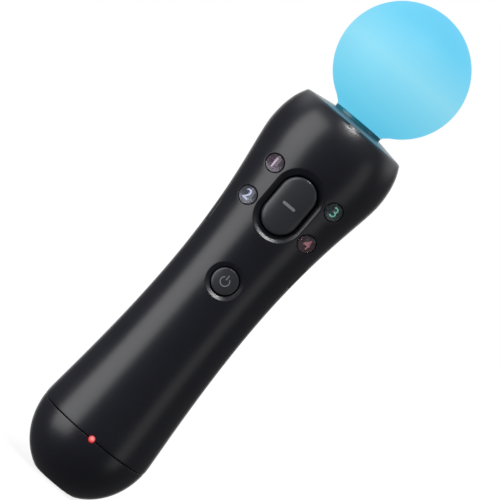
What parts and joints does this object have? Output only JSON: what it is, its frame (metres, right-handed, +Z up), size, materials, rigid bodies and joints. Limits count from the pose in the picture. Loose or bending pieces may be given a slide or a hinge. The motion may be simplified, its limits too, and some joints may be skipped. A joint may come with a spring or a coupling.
{
  "type": "motion controller wand",
  "caption": "Round waisted hand wand with a soft glowing ball on its head, a big thumb button, round face buttons on the front and a trigger at the back.",
  "frame": {"origin": "centre of the flat at the tail, which the wand stands on", "axes": "+Z up along the wand to the ball, -Y to the front with the buttons, +X to the right as seen from behind"},
  "size_m": [0.046, 0.0503, 0.2],
  "materials": {
    "case_black": "fine matte grain",
    "plate_gloss": "polished black",
    "socket_teal": "polished, tinted by the light of the ball",
    "ball_skin": "soft translucent skin, satin",
    "board_green": "solder mask",
    "lamp_white": "clear lens",
    "guide_white": "milky diffuser",
    "screw_steel": "zinc plated",
    "button_grey": "fine matte",
    "button_black": "fine matte",
    "chip_black": "moulded",
    "trigger_black": "satin",
    "spring_steel": "drawn wire",
    "mat_rubber": "moulded silicone",
    "can_steel": "bright sheet",
    "frame_grey": "moulded",
    "battery_wrap": "shrink wrap",
    "weight_metal": "sintered",
    "contact_gold": "plated",
    "light_pipe": "clear red",
    "cap_clear": "clear polished acrylic"
  },
  "bodies": {
    "case": {"front_shell": "case_black", "rear_shell": "case_black", "tail_cap": "case_black", "shoulder_plate": "plate_gloss", "ball_socket": "socket_teal", "light_ball": "ball_skin", "lamp_board": "board_green", "ball_lamp": "lamp_white", "light_guide": "guide_white", "plate_screws": "screw_steel", "side_switches": "chip_black", "trigger_pin": "screw_steel", "trigger_spring": "spring_steel", "trigger_board": "board_green", "trigger_pad": "mat_rubber", "main_board": "board_green", "button_mat": "mat_rubber", "board_chips": "chip_black", "radio_can": "can_steel", "inner_frame": "frame_grey", "battery_pack": "battery_wrap", "motor_can": "can_steel", "tail_board": "board_green", "tail_screws": "screw_steel", "usb_socket": "can_steel", "accessory_socket": "chip_black", "accessory_blades": "contact_gold", "charge_contacts": "contact_gold", "strap_bar": "spring_steel", "reset_switch": "chip_black", "status_light": "light_pipe", "status_lamp": "lamp_white", "case_screws": "screw_steel"},
    "action_button": {"action_button": "button_grey"},
    "upper_left_button": {"upper_left_cap": "cap_clear", "upper_left_core": "button_black"},
    "upper_right_button": {"upper_right_cap": "cap_clear", "upper_right_core": "button_black"},
    "lower_left_button": {"lower_left_cap": "cap_clear", "lower_left_core": "button_black"},
    "lower_right_button": {"lower_right_cap": "cap_clear", "lower_right_core": "button_black"},
    "home_button": {"home_button": "button_grey"},
    "left_side_button": {"left_side_button": "button_black"},
    "right_side_button": {"right_side_button": "button_black"},
    "reset_button": {"reset_button": "button_black"},
    "trigger": {"trigger": "trigger_black"},
    "motor_weight": {"motor_weight": "weight_metal"}
  },
  "joints": [
    {"name": "action_press", "type": "slide", "parent": "case", "child": "action_button", "axis": [0, 1, 0], "range_m": [0, 0.001], "stiffness_N_per_m": 1500, "springref_m": -0.0003, "deforming": ["button_mat"]},
    {"name": "upper_left_press", "type": "slide", "parent": "case", "child": "upper_left_button", "axis": [0, 1, 0], "range_m": [0, 0.0008], "stiffness_N_per_m": 1500, "springref_m": -0.0003, "deforming": ["button_mat"]},
    {"name": "upper_right_press", "type": "slide", "parent": "case", "child": "upper_right_button", "axis": [0, 1, 0], "range_m": [0, 0.0008], "stiffness_N_per_m": 1500, "springref_m": -0.0003, "deforming": ["button_mat"]},
    {"name": "lower_left_press", "type": "slide", "parent": "case", "child": "lower_left_button", "axis": [0, 1, 0], "range_m": [0, 0.0008], "stiffness_N_per_m": 1500, "springref_m": -0.0003, "deforming": ["button_mat"]},
    {"name": "lower_right_press", "type": "slide", "parent": "case", "child": "lower_right_button", "axis": [0, 1, 0], "range_m": [0, 0.0008], "stiffness_N_per_m": 1500, "springref_m": -0.0003, "deforming": ["button_mat"]},
    {"name": "home_press", "type": "slide", "parent": "case", "child": "home_button", "axis": [0, 1, 0], "range_m": [0, 0.0008], "stiffness_N_per_m": 1500, "springref_m": -0.0003, "deforming": ["button_mat"]},
    {"name": "left_side_press", "type": "slide", "parent": "case", "child": "left_side_button", "axis": [1, 0, 0], "range_m": [0, 0.0005], "stiffness_N_per_m": 1500, "springref_m": -0.0003},
    {"name": "right_side_press", "type": "slide", "parent": "case", "child": "right_side_button", "axis": [-1, 0, 0], "range_m": [0, 0.0005], "stiffness_N_per_m": 1500, "springref_m": -0.0003},
    {"name": "reset_press", "type": "slide", "parent": "case", "child": "reset_button", "axis": [0, -1, 0], "range_m": [0, 0.0004], "stiffness_N_per_m": 1000, "springref_m": -0.0003},
    {"name": "trigger_pull", "type": "hinge", "parent": "case", "child": "trigger", "pos_m": [0, 0.0165, 0.1425], "axis": [-1, 0, 0], "range_deg": [0, 14], "stiffness_Nm_per_rad": 0.2, "springref_deg": -5.73, "deforming": ["trigger_spring", "trigger_pad"]},
    {"name": "motor_spin", "type": "hinge", "parent": "case", "child": "motor_weight", "pos_m": [0, 0.0046, 0.0228], "axis": [0, 0, 1], "continuous": true}
  ]
}
